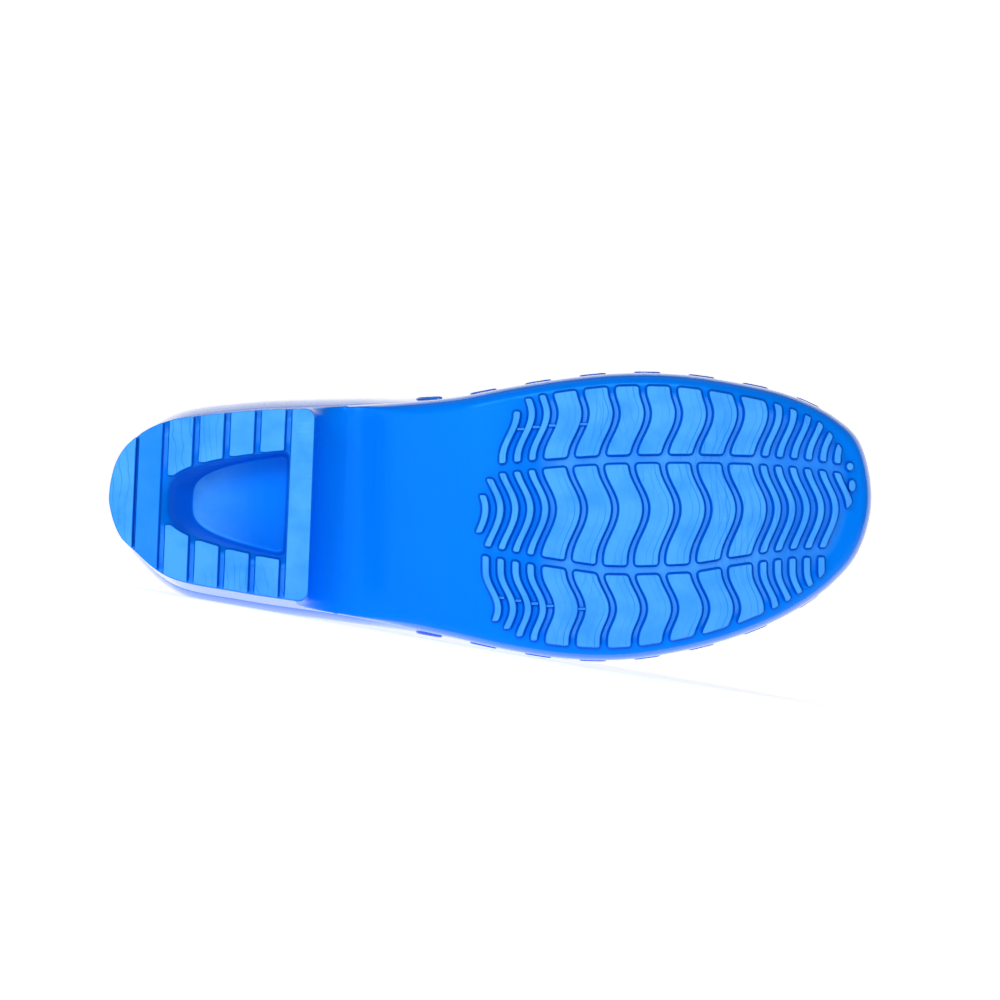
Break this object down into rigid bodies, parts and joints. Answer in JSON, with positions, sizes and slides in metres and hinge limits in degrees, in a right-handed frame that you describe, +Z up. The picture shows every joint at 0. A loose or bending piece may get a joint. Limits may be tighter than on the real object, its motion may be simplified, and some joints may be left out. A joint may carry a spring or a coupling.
{
  "type": "hospital clog",
  "caption": "Slip-on hospital clog for the left foot with closed toe, low heel rim, vent slots, wavy tread and hollowed heel block, lying on its outer side.",
  "frame": {"origin": "centre of the underside of the bounding box, on the floor that the clog lies on", "axes": "+X from heel to toe, +Y the way the top of the shoe faces, -Y the way the sole faces, +Z up towards the inner side of the foot"},
  "size_m": [0.2698, 0.0912, 0.1099],
  "materials": {
    "outsole": "glossy moulded blue plastic, fine scratches and flow marks",
    "upper": "glossy moulded blue plastic, smooth",
    "insole": "satin moulded foam, fine pebble grain"
  },
  "bodies": {
    "root": {"outsole": "outsole", "upper": "upper", "insole": "insole"}
  },
  "joints": []
}
